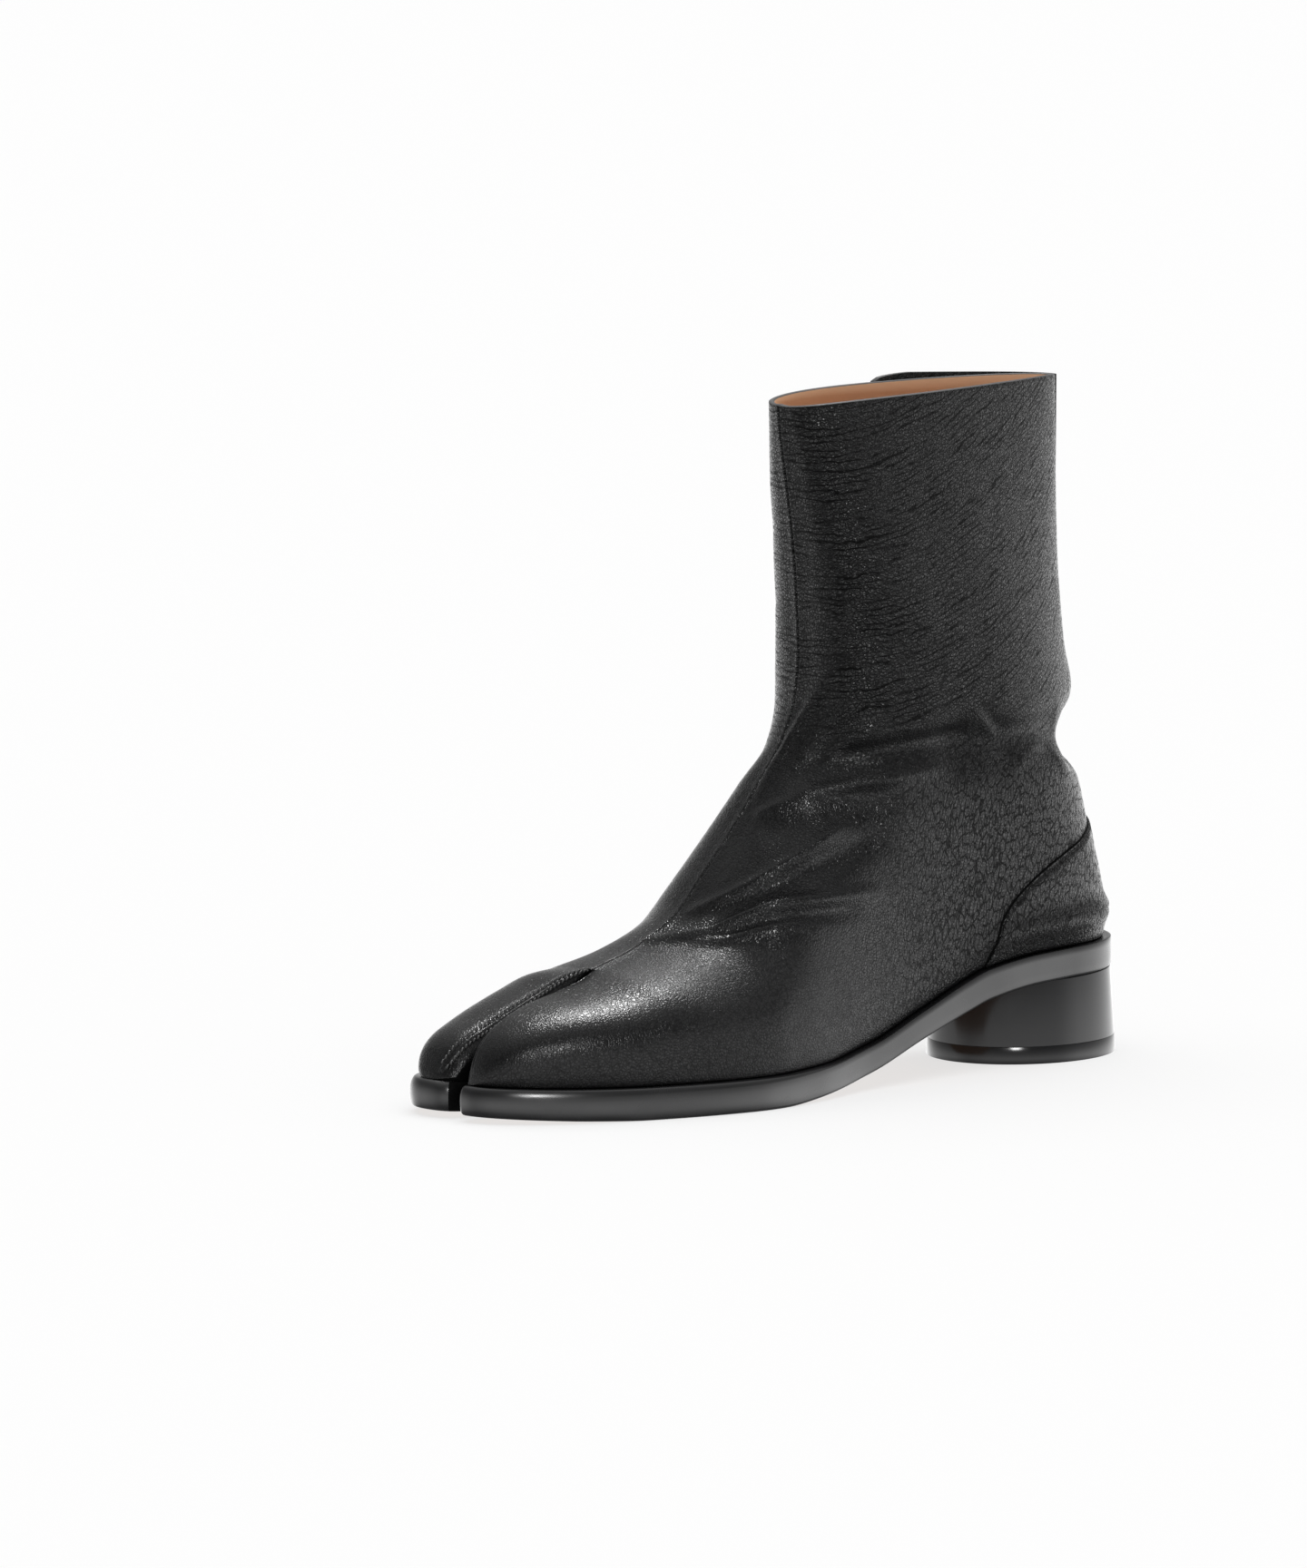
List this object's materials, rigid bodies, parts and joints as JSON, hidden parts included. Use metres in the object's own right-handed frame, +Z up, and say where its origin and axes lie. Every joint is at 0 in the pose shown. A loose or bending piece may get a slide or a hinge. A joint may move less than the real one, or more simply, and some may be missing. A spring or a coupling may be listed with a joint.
{
  "type": "split-toe ankle boot",
  "caption": "Left split-toe leather ankle boot with a hollow upper, slim shaft, back closure flap, leather sole and round stacked heel, standing empty on its sole",
  "frame": {"origin": "middle of the boot's footprint, on the floor it stands on", "axes": "+X to the toes, +Y to the outer (little toe) side, +Z up"},
  "size_m": [0.29, 0.0936, 0.2427],
  "materials": {
    "upper_leather": "creased semi-gloss black leather",
    "insole_leather": "matte tan leather",
    "sole_edge": "satin painted black edge",
    "heel_stack": "satin painted black stack",
    "lift_rubber": "matte black rubber"
  },
  "bodies": {
    "root": {"upper": "upper_leather", "heel_counter": "upper_leather", "closure_flap": "upper_leather", "insole": "insole_leather", "outsole": "sole_edge", "heel_block": "heel_stack", "heel_lift": "lift_rubber"}
  },
  "joints": []
}
